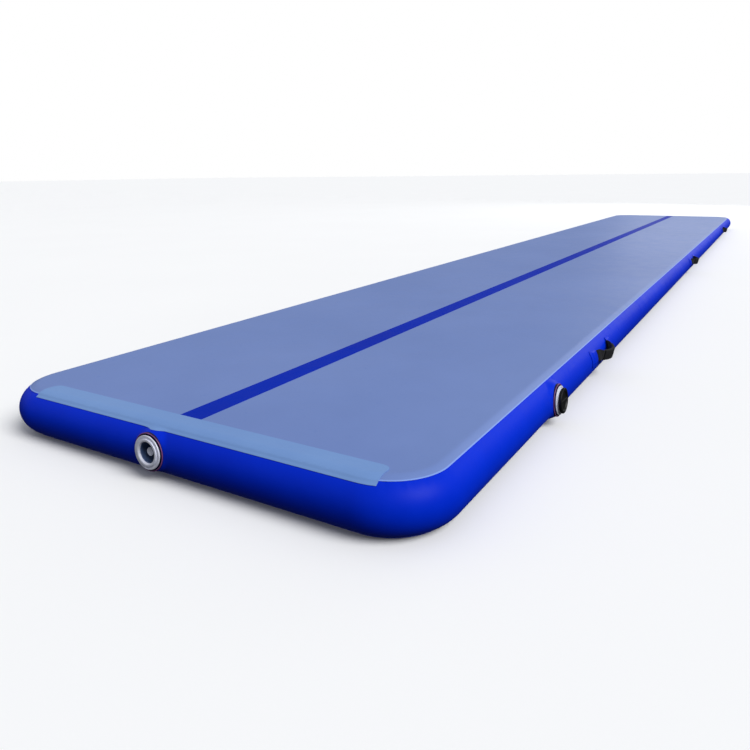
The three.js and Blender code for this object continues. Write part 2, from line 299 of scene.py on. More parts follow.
def webbing_cloth(name, colour, shade):
    """Flat woven webbing: slanted ribs that run along it, with the weft between."""
    fin = Finish(name)
    where = fin.surface()
    ribs = fin.waves(2.2 * MM, "Y", where)
    weft = fin.waves(1.1 * MM, "X", where)
    slant = fin.waves(1.5 * MM, "DIAGONAL", where)
    relief = ribs * 0.55 + weft * 0.25 + slant * 0.2
    # The low parts of the weave take the darker tone: painted shade in its grooves.
    base = fin.mixed(relief, shade, colour)
    normal = fin.bump(relief, 0.3 * MM, 0.8)
    fibre = fin.bump(fin.noise(0.3 * MM, 2.0), 0.05 * MM, 0.5, over=normal)
    return fin.finish(base, 0.86, fibre, Specular_IOR_Level=0.25, Sheen_Weight=0.15)


def drawn_wire(name, colour):
    fin = Finish(name)
    streak = fin.noise(0.5 * MM, 4.0)
    normal = fin.bump(streak, 0.01 * MM, 0.4)
    return fin.finish(colour, 0.22 + streak * 0.15, normal, Metallic=1.0)


def twisted_yarn(name, colour, shade):
    fin = Finish(name)
    twist = fin.waves(0.8 * MM, "Z")
    # The grooves of the twist take the darker tone: painted shade.
    base = fin.mixed(twist, shade, colour)
    return fin.finish(base, 0.9, fin.bump(twist, 0.1 * MM, 0.6), Specular_IOR_Level=0.2)


# The top sheet's last few millimetres, at its cut edge on the shoulder, are painted a lighter blue:
# a painted highlight.
SHEET_EDGE_PAINTED_HIGHLIGHT = (TOP - 4.6 * MM, TOP - 3.6 * MM, tone(133, 165, 238))
TOP_FABRIC = coated_fabric(
    "top_fabric", tone(112, 136, 196), tone(104, 129, 190), 0.42, edge=SHEET_EDGE_PAINTED_HIGHLIGHT, shine=0.5
)
WALL_FABRIC = coated_fabric("wall_fabric", tone(0, 47, 212), tone(0, 41, 200), 0.4, shine=0.07)
UNDER_FABRIC = coated_fabric("under_fabric", tone(0, 45, 200), tone(0, 38, 184), 0.45, shine=0.1)
STRIP_FABRIC = coated_fabric("strip_fabric", tone(120, 156, 210), tone(112, 148, 205), 0.4)
LINE_FABRIC = coated_fabric("line_fabric", tone(0, 42, 176), tone(0, 37, 166), 0.45, shine=0.03)
VALVE_PLASTIC = moulded("valve_plastic", tone(226, 228, 242), tone(212, 215, 233), 0.3)
# Dark slate for the inside of the white valve moulding: painted shade in the bore.
BORE_PAINTED_SHADE = moulded("bore_plastic", tone(84, 104, 146), tone(70, 90, 132), 0.35)
COLLAR_RUBBER = moulded("collar_rubber", tone(6, 12, 58), tone(4, 8, 40), 0.5, shine=0.3)
COLLAR_BEAD = moulded("collar_bead", tone(140, 76, 134), tone(112, 62, 120), 0.45)
SEAL_RUBBER = moulded("seal_rubber", tone(38, 40, 44), tone(28, 30, 33), 0.7, shine=0.3)
CAP_PLASTIC = moulded("cap_plastic", tone(12, 13, 15), tone(7, 8, 10), 0.38, shine=0.35)
SPRING_STEEL = drawn_wire("spring_steel", tone(196, 199, 204))
# The webbing's darker tone is painted shade in the grooves of its weave.
WEBBING = webbing_cloth("webbing", tone(30, 31, 35), tone(12, 12, 14))
# The foam's darker tone is painted shade in its pores.
GRIP_FOAM = foam("grip_foam", tone(30, 31, 34), tone(14, 15, 17))
# The darker tones of the thread and the yarn are painted shade in the grooves of their twist.
THREAD = twisted_yarn("handle_thread", tone(62, 64, 70), tone(34, 35, 40))
YARN = twisted_yarn("drop_stitch_yarn", tone(232, 233, 236), tone(196, 198, 204))


# ---- meshes ----


def smooth(share):
    """0 to 1 with soft ends."""
    share = np.clip(share, 0, 1)
    return share * share * (3 - 2 * share)


def grid(rows, columns, round_rows=False, round_columns=False):
    """Faces of a grid of points, joined round either way if asked."""
    faces = []
    for i in range(rows if round_rows else rows - 1):
        for j in range(columns if round_columns else columns - 1):
            k, m = (i + 1) % rows, (j + 1) % columns
            faces.append((i * columns + j, k * columns + j, k * columns + m, i * columns + m))
    return faces


def make(name, points, faces, *finishes):
    """A mesh object with doubles merged, thin slivers gone and its faces pointing outwards."""
    mesh = bpy.data.meshes.new(name)
    mesh.from_pydata([tuple(map(float, p)) for p in points], [], faces)
    shape = bmesh.new()
    shape.from_mesh(mesh)
    bmesh.ops.remove_doubles(shape, verts=shape.verts, dist=1e-6)
    bmesh.ops.dissolve_degenerate(shape, edges=shape.edges, dist=1e-7)
    bmesh.ops.recalc_face_normals(shape, faces=shape.faces)
    shape.to_mesh(mesh)
    shape.free()
    for finish in finishes:
        mesh.materials.append(finish)
    piece = bpy.data.objects.new(name, mesh)
    bpy.context.scene.collection.objects.link(piece)
    soften(piece)
    return piece


def soften(piece, angle=38):
    """Smooth shading, with edges sharper than the angle kept crisp."""
    piece.data.shade_smooth()
    piece.data.set_sharp_from_angle(angle=math.radians(angle))


def settle(piece):
    """Turns a piece's modifiers into plain mesh."""
    graph = bpy.context.evaluated_depsgraph_get()
    made = bpy.data.meshes.new_from_object(piece.evaluated_get(graph))
    piece.modifiers.clear()
    old = piece.data
    piece.data = made
    bpy.data.meshes.remove(old)
    piece.data.name = piece.name
    return piece


def thicken(piece, thickness):
    """Gives an open skin its thickness, measured inwards from its outer face."""
    wall = piece.modifiers.new("thickness", "SOLIDIFY")
    wall.thickness = thickness
    wall.offset = -1
    wall.use_even_offset = False
    settle(piece)
    soften(piece)
    return piece


def joined(name, parts):
    """One piece from several."""
    for part in parts[1:]:
        for finish in filter(None, part.data.materials):
            if finish.name not in parts[0].data.materials:
                parts[0].data.materials.append(finish)
    shape = bmesh.new()
    for part in parts:
        names = [finish.name if finish else "" for finish in part.data.materials]
        places = [max(0, parts[0].data.materials.find(each)) for each in names]
        before = len(shape.faces)
        shape.from_mesh(part.data)
        shape.faces.ensure_lookup_table()
        for face in shape.faces[before:]:
            face.material_index = places[face.material_index] if places else 0
    shape.to_mesh(parts[0].data)
    shape.free()
    for part in parts[1:]:
        bpy.data.objects.remove(part)
    parts[0].name = parts[0].data.name = name
    return parts[0]


def moved(piece, place):
    piece.data.transform(place)
    piece.data.update()
    return piece


def hand_over(piece, body, slot, *nodes):
    """The piece rides on its body and stands for its CAD nodes, which it hides. The slot it is
    given is not used.
    """
    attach(piece, body)
    if nodes:
        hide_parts(*nodes)
    return piece


# ---- where the valves are ----


class ValvePlace:
    """The place of one valve: its origin on the middle line of the bulge, and its axes."""

    def __init__(self, name, along):
        push = next(j for j in frame["joints"] if j["name"] == f"{name}_push")
        self.name = name
        self.out = -Vector(push["axis"]).normalized()
        self.along = Vector(along)
        self.up = self.out.cross(self.along).normalized()
        low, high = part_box(f"{name}_gasket")
        self.origin = (low + high) / 2 - self.out * GASKET_MIDDLE
        turn = Matrix((self.along, self.up, self.out)).transposed()
        self.matrix = Matrix.Translation(self.origin) @ turn.to_4x4()

    def local(self, points):
        offset = np.asarray(points, float) - np.array(self.origin)
        return offset @ np.array([self.along, self.up, self.out]).T

    def at(self, along, up, out):
        return self.matrix @ Vector((along, up, out))


END_VALVE = ValvePlace("end_valve", (0, -1, 0))
SIDE_VALVE = ValvePlace("side_valve", (1, 0, 0))
VALVES = (END_VALVE, SIDE_VALVE)


def draw_amount(rho, up):
    """How far the cloth is drawn outwards at a distance from the valve's axis."""
    share = 1 - smooth((rho - DRAWN_FLAT) / (DRAWN_END - DRAWN_FLAT))
    wall = np.sqrt(np.clip(BULGE**2 - up**2, 0, None))
    return share * np.clip(DRAWN_TO - wall, 0, None)


def drawn(points):
    """The cloth with the flat places that the two valves draw in it."""
    points = np.array(points, float)
    for valve in VALVES:
        local = valve.local(points)
        rho = np.hypot(local[:, 0], local[:, 1])
        shift = np.where(local[:, 2] > 0, draw_amount(rho, local[:, 1]), 0)
        points += shift[:, None] * np.array(valve.out)
    return points


# ---- the mattress ----


def outline(step, corner_steps, fine=()):
    """Stations round the mat on the middle line of the bulge, counterclockwise from above:
    x, y, outward x, outward y, and how far into a corner the station is, 0 to 1."""
    reach = np.array([HALF_LENGTH - CORNER, HALF_WIDTH - CORNER])
    radius = CORNER - BULGE
    stations = []
    corners = [(-1, -1), (1, -1), (1, 1), (-1, 1)]
    for side, corner in enumerate(corners):
        start = reach * corner
        end = reach * corners[(side + 1) % 4]
        heading = math.radians(90 * side - 90)
        normal = np.array([math.cos(heading), math.sin(heading)])
        run = np.linalg.norm(end - start)
        spots = list(np.linspace(0, run, round(run / step) + 1))
        for spot in fine:
            offset = np.array(spot) - start
            along = offset @ (end - start) / run
            if abs(offset @ normal - radius) < BULGE and 0 < along < run:
                spots = [s for s in spots if abs(s - along) > 60 * MM]
                spots += list(np.linspace(along - 58 * MM, along + 58 * MM, 35))
        for spot in sorted(spots):
            point = start + (end - start) * spot / run + normal * radius
            stations.append((*point, *normal, 0.0))
        for k in range(1, corner_steps):
            angle = heading + math.pi / 2 * k / corner_steps
            normal = np.array([math.cos(angle), math.sin(angle)])
            depth = math.sin(math.pi * k / corner_steps)
            stations.append((*(end + normal * radius), *normal, depth))
    return np.array(stations)


def sheet_lift(angle):
    """A face sheet lies over the wall's edge and comes down to the flat beyond it."""
    return SHEET_LIFT * (1 - smooth((angle - WALL_ANGLE) / (math.pi / 2 - WALL_ANGLE)))


def gathers(along, angle, depth):
    """Small gathers where the wall is bent round a corner, strongest next to the seams."""
    near_seam = np.exp(-(((SHEET_EDGE_ANGLE - np.abs(angle)) / 0.22) ** 2))
    ripple = np.sin(along * 2 * np.pi / (15 * MM)) + 0.6 * np.sin(along * 2 * np.pi / (9.3 * MM))
    return 0.28 * MM * depth * near_seam * ripple


def make_wall():
    stations = outline(25 * MM, 56, fine=[v.origin[:2] for v in VALVES])
    angles = np.linspace(-WALL_ANGLE, WALL_ANGLE, 37)
    steps = np.hypot(*np.diff(stations[:, :2], axis=0, append=stations[:1, :2]).T)
    run = np.concatenate([[0], np.cumsum(steps)[:-1]])
    points = []
    for (x, y, nx, ny, depth), along in zip(stations, run):
        waver = 0.12 * MM * (math.sin(along * 9.1) + math.sin(along * 23.7 + 1.3))
        reach = BULGE - 0.1 * MM + waver * 0.3 + gathers(along, angles, depth)
        out = reach * np.cos(angles)
        level = BULGE + reach * np.sin(angles)
        points.append(np.stack([x + nx * out, y + ny * out, level], 1))
    points = np.concatenate(points)
    faces = np.array(grid(len(stations), len(angles), round_rows=True))
    kept = np.ones(len(faces), bool)
    for valve in VALVES:
        local = valve.local(points)
        middle = local[faces].mean(1)
        inside = (np.hypot(middle[:, 0], middle[:, 1]) < WALL_HOLE) & (middle[:, 2] > 0)
        rim = np.intersect1d(faces[inside], faces[~inside])
        flat = local[rim, :2]
        local[rim, :2] = flat / np.linalg.norm(flat, axis=1)[:, None] * WALL_HOLE
        axes = np.array([valve.along, valve.up, valve.out])
        wall = np.sqrt(BULGE**2 - local[rim, 1] ** 2)
        local[rim, 2] = wall
        points[rim] = local[rim] @ axes + np.array(valve.origin)
        kept &= ~inside
    used, places = np.unique(faces[kept], return_inverse=True)
    points = drawn(points)[used]
    faces = places.reshape(-1, 4)
    wall = make("mattress_wall", points, faces.tolist(), WALL_FABRIC)
    # the band is open above and below, so which way its faces look is checked
    turn_outwards(wall, Vector((0, 0, BULGE)))
    thicken(wall, SKIN)
    nodes = [n for n in frame["nodes"] if n.startswith("wall_")]
    hand_over(wall, "mat", "wall_fabric", *sorted(nodes))
    return wall


def turn_outwards(piece, middle):
    """Flips an open skin if its faces look towards the middle of the mat."""
    faces = piece.data.polygons
    vote = sum((f.center - middle).dot(f.normal) * f.area for f in faces)
    if vote < 0:
        piece.data.flip_normals()


def make_face_sheet(name, side, finish, slot, node):
    """One face of the mat: flat, and wrapped over the rounded shoulder onto the wall."""
    stations = outline(40 * MM, 28)
    spine_x = np.clip(stations[:, 0], HALF_WIDTH - HALF_LENGTH, HALF_LENGTH - HALF_WIDTH)
    rings = []
    for angle in np.linspace(SHEET_EDGE_ANGLE, math.pi / 2, 10):
        reach = BULGE + float(sheet_lift(angle))
        out = reach * math.cos(angle)
        level = BULGE + reach * math.sin(angle)
        flat = stations[:, :2] + stations[:, 2:4] * out
        rings.append(np.column_stack([flat, np.full(len(flat), level)]))
    for share in (0.06, 0.15, 0.3, 0.5, 0.7, 0.85, 1.0):
        x = stations[:, 0] * (1 - share) + spine_x * share
        y = stations[:, 1] * (1 - share)
        rings.append(np.column_stack([x, y, np.full(len(x), TOP)]))
    points = drawn(np.concatenate(rings))
    if side < 0:
        points[:, 2] = np.clip(TOP - points[:, 2], 0, None)
    faces = grid(len(rings), len(stations), round_columns=True)
    sheet = make(name, points, faces, finish)
    turn_outwards(sheet, Vector((0, 0, BULGE)))
    thicken(sheet, SKIN)
    hand_over(sheet, "mat", slot, node)
    return sheet


def make_end_strip(name, end, node):
    """A reinforcing strip over the shoulder at one end of the mat."""
    low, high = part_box(node)
    back = STRIP_DEPTH - BULGE
    profile = [(-back * (1 - share), TOP) for share in (0, 0.02, 0.1, 0.2, 0.35, 0.55, 0.75)]
    for angle in np.linspace(math.pi / 2, STRIP_EDGE_ANGLE, 18):
        past = smooth((SHEET_EDGE_ANGLE - angle) / 0.05)
        reach = BULGE + float(sheet_lift(angle)) * (1 - float(past))
        profile.append((reach * math.cos(angle), BULGE + reach * math.sin(angle)))
    lift = STRIP_THICKNESS + 0.1 * MM
    reach_x, reach_y = HALF_LENGTH - CORNER, HALF_WIDTH - CORNER
    turn = CORNER - BULGE
    points = []
    shares = np.linspace(0, 1, 61)
    for out, level in profile:
        angle = math.atan2(level - BULGE, max(out, 0.0))
        normal = (math.cos(angle), math.sin(angle)) if out > 0 else (0.0, 1.0)
        depth = min(out + back, STRIP_CORNER)
        inset = STRIP_CORNER - math.sqrt(STRIP_CORNER**2 - (STRIP_CORNER - depth) ** 2)
        y = low.y + inset + (high.y - low.y - 2 * inset) * shares
        shift = out + lift * normal[0] if out > 0 else 0.0
        past = np.clip(np.abs(y) - reach_y, 0, turn)  # past the straight part of the end
        aside = past / (turn + shift) * np.sign(y)
        ahead = np.sqrt(1 - aside**2)
        x = reach_x + turn * ahead + ahead * shift + (out if out <= 0 else 0.0)
        if out < 0:
            x = reach_x + turn * (1 - (1 - ahead) * (1 + out / back)) + out
        z = np.full(len(y), level + lift * normal[1])
        points.append(np.column_stack([end * x, y, z]))
    points = drawn(np.concatenate(points))
    strip = make(name, points, grid(len(profile), len(shares)), STRIP_FABRIC)
    turn_outwards(strip, Vector((end * (HALF_LENGTH - 2 * BULGE), 0, BULGE)))
    thicken(strip, STRIP_THICKNESS)
    hand_over(strip, "mat", "strip_fabric", node)
    return strip


def make_centre_line():
    """A thin band welded flat along the middle of the upper face."""
    low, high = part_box("centre_line")
    lift = 0.6 * MM
    points = []
    xs = np.linspace(low.x, high.x, 160)
    ys = np.linspace(-LINE_HALF_WIDTH, LINE_HALF_WIDTH, 5)
    for x in xs:
        for y in ys:
            points.append((x, y, TOP + lift))
    line = make("centre_band", points, grid(len(xs), len(ys)), LINE_FABRIC)
    turn_outwards(line, Vector((0, 0, 0)))
    thicken(line, 0.5 * MM)
    hand_over(line, "mat", "line_fabric", "centre_line")
    return line


# ---- turned pieces ----


def fillet(profile):
    """Rounds the corners of a profile. A point is (radius, height) or (radius, height, fillet),
    in millimetres; the profile closes on itself."""
    rounded = []
    for index, (radius, height, *size) in enumerate(profile):
        corner = np.array([radius, height], float)
        if not size:
            rounded.append(corner)
            continue
        before = np.array(profile[index - 1][:2], float) - corner
        after = np.array(profile[(index + 1) % len(profile)][:2], float) - corner
        first = corner + before / np.linalg.norm(before) * size[0]
        last = corner + after / np.linalg.norm(after) * size[0]
        for share in (0, 0.25, 0.5, 0.75, 1):
            bend = (1 - share) ** 2 * first + 2 * share * (1 - share) * corner
            rounded.append(bend + share**2 * last)
    return np.array(rounded) * MM


def turned(name, profile, *finishes, sides=96):
    """A piece made on the lathe round the z axis from a closed profile."""
    shape = fillet(profile)
    points = []
    for step in range(sides):
        angle = 2 * math.pi * step / sides
        circle = np.stack([shape[:, 0] * math.cos(angle), shape[:, 0] * math.sin(angle)], 1)
        points.append(np.column_stack([circle, shape[:, 1]]))
    faces = grid(sides, len(shape), round_rows=True, round_columns=True)
    return make(name, np.concatenate(points), faces, *finishes)


def block(name, low, high, finish, edge=0.4):
    """A box with rounded edges, sizes in millimetres."""
    points = [
        (x * MM, y * MM, z * MM)
        for x in (low[0], high[0])
        for y in (low[1], high[1])
        for z in (low[2], high[2])
    ]
    faces = [(0, 1, 3, 2), (4, 6, 7, 5), (0, 4, 5, 1), (2, 3, 7, 6), (0, 2, 6, 4), (1, 5, 7, 3)]
    piece = make(name, points, faces, finish)
    bevel = piece.modifiers.new("edges", "BEVEL")
    bevel.width = edge * MM
    bevel.segments = 3
    settle(piece)
    soften(piece)
    return piece


# ---- what repeats ----


def geometry_tree(name, inputs):
    """An empty geometry tree with named inputs, and the wires of those inputs."""
    group = bpy.data.node_groups.new(name, "GeometryNodeTree")
    group.interface.new_socket("Geometry", in_out="INPUT", socket_type="NodeSocketGeometry")
    for label, kind in inputs.items():
        group.interface.new_socket(label, in_out="INPUT", socket_type=f"NodeSocket{kind}")
    group.interface.new_socket("Geometry", in_out="OUTPUT", socket_type="NodeSocketGeometry")
    tree = Tree(group)
    given = group.nodes.new("NodeGroupInput")
    wires = {socket.name: Wire(tree, socket) for socket in given.outputs if socket.name}
    return tree, wires


def ended(tree, given, shape):
    """Ends a geometry tree: copies made real, in the given finish."""
    real = tree.node("GeometryNodeRealizeInstances", {}, {0: shape})
    real = tree.node("GeometryNodeSetMaterial", {}, {0: real, "Material": given["Finish"]})
    tree.node("NodeGroupOutput", {}, {0: real})
    return tree


def run_tree(piece, tree, values):
    """Runs a geometry tree on a piece with the given inputs and keeps the plain mesh."""
    modifier = piece.modifiers.new("made", "NODES")
    modifier.node_group = tree.tree
    for item in tree.tree.interface.items_tree:
        if item.in_out == "INPUT" and item.name in values:
            modifier[item.identifier] = values[item.name]
    settle(piece)
    soften(piece)
    return piece


def ribs_tree():
    """Ribs set round an edge, each a small bar that stands on a circle."""
    inputs = {"Count": "Int", "Radius": "Float", "Size": "Vector", "Height": "Float"}
    tree, given = geometry_tree("ribs_round_an_edge", {**inputs, "Finish": "Material"})
    circle = tree.node("GeometryNodeMeshCircle", {}, {0: given["Count"], 1: given["Radius"]})
    rib = tree.node("GeometryNodeMeshCube", {}, {"Size": given["Size"]})
    index = tree.node("GeometryNodeInputIndex")
    turn = index * (2 * math.pi) * given["Count"].math("DIVIDE", 1.0, swapped=True)
    turn = tree.node("ShaderNodeCombineXYZ", {}, {2: turn})
    sockets = {"Points": circle, "Instance": rib, "Rotation": turn}
    placed = tree.node("GeometryNodeInstanceOnPoints", {}, sockets)
    lift = tree.node("ShaderNodeCombineXYZ", {}, {2: given["Height"]})
    placed = tree.node("GeometryNodeTransform", {}, {"Geometry": placed, "Translation": lift})
    both = tree.node("GeometryNodeJoinGeometry", {}, {0: [given["Geometry"], placed]})
    return ended(tree, given, both)


def stitches_tree():
    """Stitches laid end to end along a line of edges."""
    inputs = {"Pitch": "Float", "Length": "Float", "Thickness": "Float", "Finish": "Material"}
    tree, given = geometry_tree("stitches_along_a_line", inputs)
    line = tree.node("GeometryNodeMeshToCurve", {}, {0: given["Geometry"]})
    sockets = {"Curve": line, "Length": given["Pitch"]}
    line = tree.node("GeometryNodeResampleCurve", {"mode": "LENGTH"}, sockets)
    ball = tree.node("GeometryNodeMeshUVSphere", {}, {0: 6, 1: 5, 2: 0.5})
    tangent = tree.node("GeometryNodeInputTangent")
    turn = tree.node("FunctionNodeAlignRotationToVector", {"axis": "X"}, {"Vector": tangent})
    size = {0: given["Length"], 1: given["Thickness"], 2: given["Thickness"]}
    size = tree.node("ShaderNodeCombineXYZ", {}, size)
    sockets = {"Points": line, "Instance": ball, "Rotation": turn, "Scale": size}
    placed = tree.node("GeometryNodeInstanceOnPoints", {}, sockets)
    return ended(tree, given, placed)


def yarns_tree():
    """Upright yarns in rows, between the two faces of the mattress."""
    inputs = {"Length": "Float", "Width": "Float", "Across": "Int", "Along": "Int"}
    inputs.update({"Height": "Float", "Thickness": "Float", "Finish": "Material"})
    tree, given = geometry_tree("drop_stitch_yarns", inputs)
    sockets = {0: given["Length"], 1: given["Width"], 2: given["Along"], 3: given["Across"]}
    field = tree.node("GeometryNodeMeshGrid", {}, sockets)
    sockets = {"Vertices": 4, "Radius": given["Thickness"], "Depth": given["Height"]}
    yarn = tree.node("GeometryNodeMeshCylinder", {}, sockets)
    sockets = {"Points": field, "Instance": yarn}
    placed = tree.node("GeometryNodeInstanceOnPoints", {}, sockets)
    return ended(tree, given, placed)


# ---- valves ----


def make_collar(valve):
    """A rubber ring that lies on the drawn wall, with a bead round its outer edge."""
    sides = 96
    section = [(22.4, None), (22.4, 51.5), (32.4, 51.5), (33.0, 51.8), (33.6, 51.9)]
    section += [(34.2, 51.6), (34.5, 51.0), (34.5, None)]
    points = []
    for step in range(sides):
        angle = 2 * math.pi * step / sides
        for radius, out in section:
            x = radius * MM * math.cos(angle)
            y = radius * MM * math.sin(angle)
            if out is None:
                wall = math.sqrt(BULGE**2 - y * y)
                out = (wall + float(draw_amount(radius * MM, y))) / MM + 0.05
                out = min(out, 50.9)
            points.append((x, y, out * MM))
    faces = grid(sides, len(section), round_rows=True, round_columns=True)
    collar = make(f"{valve.name}_ring", points, faces, COLLAR_RUBBER, COLLAR_BEAD)
    for face in collar.data.polygons:
        reach = math.hypot(face.center.x, face.center.y)
        face.material_index = int(reach > 32.8 * MM and face.center.z > 51 * MM)
    moved(collar, valve.matrix)
    return hand_over(collar, "mat", "collar_rubber", f"{valve.name}_collar")


def make_valve_body(valve):
    """Flange, neck and tube in one moulding, with its seat and the three-legged spider."""
    shell = turned(
        "shell",
        [
            (12.5, 25.5), (22, 25.5, 0.5), (22, 53.1), (30.5, 53.1, 0.6), (30.5, 55.5, 0.9),
            (26.4, 55.5, 0.3), (26.0, 54.9, 0.2), (24.5, 54.9, 0.2), (24.5, 57.2, 0.6),
            (20.6, 57.2, 0.4), (19.2, 56.0, 0.5), (19.2, 53.0), (18.9, 52.6), (18.9, 50.9),
            (19.2, 50.5), (19.2, 28.0, 0.8), (12.5, 28.0, 0.4),
        ],
        VALVE_PLASTIC, BORE_PAINTED_SHADE, sides=128,
    )  # fmt: skip
    slot = block("slot", (-4.5, -29, 54.4), (4.5, -26.9, 57), BORE_PAINTED_SHADE, 0.3)
    cut = shell.modifiers.new("slot", "BOOLEAN")
    cut.object = slot
    cut.operation = "DIFFERENCE"
    cut.solver = "EXACT"
    settle(shell)
    bpy.data.objects.remove(slot)
    # Faces of the bore and the seat take the dark slate finish: painted shade in the recess.
    for face in shell.data.polygons:
        inside = math.hypot(face.center.x, face.center.y) < 19.3 * MM
        face.material_index = int(inside and face.center.z < 54 * MM)
    hub = turned("hub", [(3.2, 30, 0.3), (6, 30, 0.4), (6, 33, 0.6), (3.2, 33, 0.3)], VALVE_PLASTIC)
    parts = [shell, hub]
    for leg in range(3):
        bar = block("leg", (-1.5, 5, 30), (1.5, 19.6, 33), VALVE_PLASTIC, 0.5)
        parts.append(moved(bar, Matrix.Rotation(leg * 2 * math.pi / 3, 4, "Z")))
    body = joined(f"{valve.name}_moulding", parts)
    soften(body)
    moved(body, valve.matrix)
    return hand_over(body, "mat", "valve_plastic", f"{valve.name}_body")


def make_plunger(valve):
    """The stem with its valve head and the button that a pump or a thumb presses."""
    stem = turned(
        f"{valve.name}_stem",
        [
            (0, 20), (5, 20, 0.5), (5, 22.2, 0.3), (2.8, 22.2, 0.2), (2.8, 46, 0.3), (7.5, 46, 0.5),
            (7.5, 48.5, 0.8), (3.4, 48.5, 0.4), (2.6, 47.9, 0.3), (0, 47.9),
        ],
        VALVE_PLASTIC, sides=64,
    )  # fmt: skip
    moved(stem, valve.matrix)
    return hand_over(stem, f"{valve.name}_plunger", "valve_plastic", f"{valve.name}_plunger")


def make_spring(valve):
    """A coil of wire with flat ends, pressed between the spider and the button."""
    radius, wire, sides, turns, per_turn = 5 * MM, 0.6 * MM, 10, 5, 28
    low, high = 33.95 * MM, 45.05 * MM
    points = []
    steps = turns * per_turn + 1
    for step in range(steps):
        share = step / (steps - 1)
        angle = 2 * math.pi * turns * share
        height = low + (high - low) * float(smooth((share - 0.08) / 0.84) * 0.35 + 0.65 * share)
        out = Vector((math.cos(angle), math.sin(angle), 0))
        for side in range(sides):
            turn = 2 * math.pi * side / sides
            point = out * (radius + wire * math.cos(turn))
            points.append(point + Vector((0, 0, height + wire * math.sin(turn))))
    faces = grid(steps, sides, round_columns=True)
    faces += [tuple(range(sides)), tuple(range(len(points) - 1, len(points) - 1 - sides, -1))]
    spring = make(f"{valve.name}_coil", points, faces, SPRING_STEEL)
    moved(spring, valve.matrix)
    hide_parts(f"{valve.name}_spring")
    valve.at(0, 0, low)
    valve.at(0, 0, high)
    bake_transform(spring)
    return spring


def make_cap(valve, ribs):
    """The screw cap: a ribbed rim, a dish with a bar to turn it by, and a plug below."""
    disc = turned(
        "cap_disc",
        [
            (0, 61.5), (19.2, 61.5, 0.9), (20.6, 64, 0.5), (25.9, 64, 1.2), (25.9, 58.6, 0.5),
            (18.6, 58.6, 0.3), (18.6, 55.6, 0.1), (17, 55.6, 0.1), (17, 53.4, 0.1),
            (18.6, 53.4, 0.1), (18.6, 52, 0.4), (17, 51, 0.3), (0, 51),
        ],
        CAP_PLASTIC,
    )  # fmt: skip
    values = {"Count": 40, "Radius": 25.9 * MM, "Size": (1.6 * MM, 1.5 * MM, 3.7 * MM)}
    run_tree(disc, ribs, {**values, "Height": 61.1 * MM, "Finish": CAP_PLASTIC})
    bar = block("cap_bar", (-20.4, -2.5, 61), (20.4, 2.5, 63.6), CAP_PLASTIC, 0.9)
    cap = joined(f"{valve.name}_screw_cap", [disc, bar])
    soften(cap)
    moved(cap, valve.matrix)
    return hand_over(cap, "side_valve_cap", "cap_plastic", f"{valve.name}_cap")


# ---- handles ----


class HandlePlace:
    """The place of one handle: its hinge line and the wall's middle line behind it."""

    def __init__(self, name):
        swing = next(j for j in frame["joints"] if j["name"] == f"{name}_swing")
        self.name = name
        self.hinge = np.array(swing["pos_m"])
        self.side = math.copysign(1, self.hinge[1])

    def out(self, angle):
        return np.array([0, self.side * math.cos(angle), math.sin(angle)])

    def across(self, angle):
        return np.array([0, -self.side * math.sin(angle), math.cos(angle)])

    def at(self, x, reach, v, angle=HANDLE_TILT):
        """A point at x along the mat, at a distance from the bulge's middle line, v across."""
        start = self.hinge + self.out(angle) * (reach - HINGE_OUT) + self.across(angle) * v
        return start + np.array([x, 0, 0])

    def on_wall(self, x, reach, v):
        """A point on the rounded wall, v being measured round it."""
        turn = HANDLE_TILT + v / BULGE
        middle = self.hinge - self.out(HANDLE_TILT) * HINGE_OUT
        return middle + self.out(turn) * reach + np.array([x, 0, 0])


def bow(x):
    """Height of the strap over its hinge line."""
    return HANDLE_RISE * (0.5 + 0.5 * math.cos(2 * math.pi * min(abs(x) / HANDLE_SPAN, 0.5)))


def strap_line(x):
    """Reach, lean and share of free strap at x: it lies on the wall, then bows and turns down."""
    free = float(smooth((FOLLOWS_WALL - abs(x)) / (FOLLOWS_WALL - FOLLOWS_GRIP)))
    on_wall = BULGE + WEB_GAP + WEB_THICKNESS / 2
    lifted = float(smooth((PATCH_START - abs(x)) / LIFTS_OVER))  # it rises once past the patch
    reach = on_wall * (1 - lifted) + (HINGE_OUT + bow(x)) * lifted
    return reach, HANDLE_TILT - HANDLE_DROOP * free, free


def square_to(line, x):
    """The direction square to a line at x, as (along, out)."""
    step = 0.5 * MM
    slope = (line(x + step) - line(x - step)) / (2 * step)
    return np.array([-slope, 1]) / math.hypot(slope, 1)


def strap_point(place, x, out, v):
    """A point of the strap: out from its middle layer and v across it."""
    reach, lean, free = strap_line(x)
    normal = square_to(lambda near: strap_line(near)[0], x)
    x += normal[0] * out
    reach += normal[1] * out
    flat = place.at(x, reach, v, lean)
    if free >= 1:
        return flat
    return place.on_wall(x, reach, v) * (1 - free) + flat * free


def rounded_section(half_width, half_thickness, corner, steps=4):
    """Points round a flat section with rounded corners: (out, across)."""
    section = []
    for quarter, (a, b) in enumerate([(1, 1), (1, -1), (-1, -1), (-1, 1)]):
        for step in range(steps + 1):
            turn = math.radians(90 * step / steps)
            swing = (math.cos(turn), math.sin(turn))
            ahead, aside = swing if quarter % 2 else swing[::-1]
            out = a * (half_thickness - corner + corner * ahead)
            section.append((out, b * (half_width - corner + corner * aside)))
    return section


def bridge(piece):
    """Bakes the piece's place into its mesh."""
    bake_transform(piece)
    return piece


